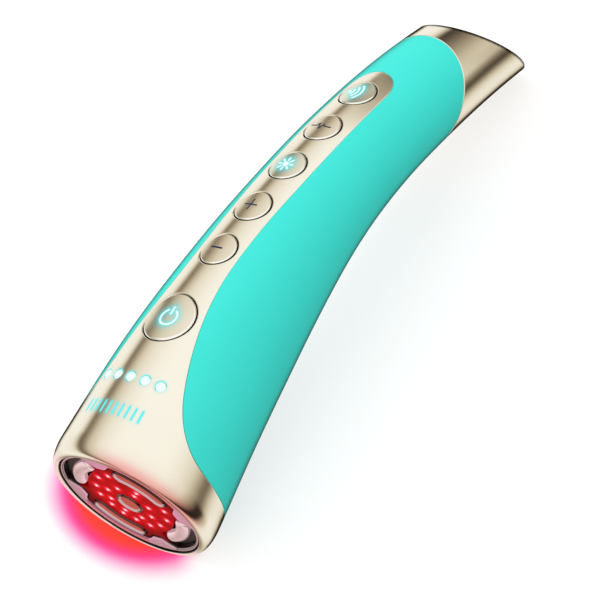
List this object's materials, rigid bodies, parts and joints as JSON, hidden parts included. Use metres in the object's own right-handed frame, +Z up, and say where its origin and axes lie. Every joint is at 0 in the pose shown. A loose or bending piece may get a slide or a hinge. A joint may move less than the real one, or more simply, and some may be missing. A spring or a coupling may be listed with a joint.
{
  "type": "facial skincare device",
  "caption": "Hand-held facial care wand: round head with red light and metal electrodes, curved body with soft grip, metal front with push buttons and indicator lights, metal tail cap.",
  "frame": {"origin": "centre of the bounding box in X and Y, at the surface that the device lies on", "axes": "+Z up, away from the surface, on the side of the buttons; +Y along the body from the head to the tail; +X across"},
  "size_m": [0.046, 0.177, 0.0489],
  "materials": {
    "champagne_metal": "satin champagne gold",
    "electrode_metal": "bright champagne gold plating",
    "soft_grip": "matte turquoise silicone",
    "chassis_plastic": "moulded black",
    "grey_plastic": "moulded grey",
    "clear_plastic": "clear, lit from behind",
    "red_lens": "polished, see-through red",
    "circuit_board": "solder mask",
    "chip_plastic": "moulded black",
    "flat_cable": "amber film",
    "cell_wrap": "blue film over a metal can",
    "red_wire": "red insulation",
    "seal_rubber": "black rubber",
    "screw_steel": "bright zinc",
    "heat_sink_metal": "bare",
    "contact_brass": "bare"
  },
  "bodies": {
    "device": {"front_shell": "champagne_metal", "tail_cap": "champagne_metal", "grip_sleeve": "soft_grip", "front_chassis": "chassis_plastic", "rear_chassis": "chassis_plastic", "chassis_screw_1": "screw_steel", "chassis_screw_2": "screw_steel", "chassis_screw_3": "screw_steel", "chassis_screw_4": "screw_steel", "switch_power": "screw_steel", "switch_minus": "screw_steel", "switch_plus": "screw_steel", "switch_light": "screw_steel", "switch_pulse": "screw_steel", "switch_wave": "screw_steel", "indicator_light_guide": "clear_plastic", "button_board": "circuit_board", "head_flex_cable": "flat_cable", "bezel_ring": "champagne_metal", "lens": "red_lens", "electrode_pad_left": "electrode_metal", "electrode_pad_right": "electrode_metal", "electrode_arc_front": "electrode_metal", "electrode_arc_back": "electrode_metal", "electrode_centre": "electrode_metal", "electrode_carrier": "chassis_plastic", "head_gasket": "seal_rubber", "contact_pin_pad_left": "contact_brass", "contact_pin_pad_right": "contact_brass", "contact_pin_arc_front": "contact_brass", "contact_pin_arc_back": "contact_brass", "contact_pin_centre": "contact_brass", "led_board": "circuit_board", "heat_sink": "heat_sink_metal", "battery_cell": "cell_wrap", "battery_cradle": "grey_plastic", "battery_lead_positive": "red_wire", "battery_lead_negative": "seal_rubber", "main_board": "circuit_board", "controller_chip": "chip_plastic", "output_transformer": "contact_brass", "board_screw_1": "screw_steel", "board_screw_2": "screw_steel", "tail_plate": "chassis_plastic", "charge_socket": "screw_steel", "charge_board": "circuit_board", "charge_cable": "red_wire"},
    "power_button": {"button_power": "champagne_metal", "plunger_power": "grey_plastic"},
    "minus_button": {"button_minus": "champagne_metal", "plunger_minus": "grey_plastic"},
    "plus_button": {"button_plus": "champagne_metal", "plunger_plus": "grey_plastic"},
    "light_button": {"button_light": "champagne_metal", "plunger_light": "grey_plastic"},
    "pulse_button": {"button_pulse": "champagne_metal", "plunger_pulse": "grey_plastic"},
    "wave_button": {"button_wave": "champagne_metal", "plunger_wave": "grey_plastic"}
  },
  "joints": [
    {"name": "power_press", "type": "slide", "parent": "device", "child": "power_button", "axis": [0, 0.0324, -0.9995], "range_m": [0, 0.0004], "stiffness_N_per_m": 3000, "springref_m": -0.0002},
    {"name": "minus_press", "type": "slide", "parent": "device", "child": "minus_button", "axis": [0, -0.0371, -0.9993], "range_m": [0, 0.0004], "stiffness_N_per_m": 3000, "springref_m": -0.0002},
    {"name": "plus_press", "type": "slide", "parent": "device", "child": "plus_button", "axis": [0, -0.0825, -0.9966], "range_m": [0, 0.0004], "stiffness_N_per_m": 3000, "springref_m": -0.0002},
    {"name": "light_press", "type": "slide", "parent": "device", "child": "light_button", "axis": [0, -0.1168, -0.9932], "range_m": [0, 0.0004], "stiffness_N_per_m": 3000, "springref_m": -0.0002},
    {"name": "pulse_press", "type": "slide", "parent": "device", "child": "pulse_button", "axis": [0, -0.1678, -0.9858], "range_m": [0, 0.0004], "stiffness_N_per_m": 3000, "springref_m": -0.0002},
    {"name": "wave_press", "type": "slide", "parent": "device", "child": "wave_button", "axis": [0, -0.2227, -0.9749], "range_m": [0, 0.0004], "stiffness_N_per_m": 3000, "springref_m": -0.0002}
  ]
}
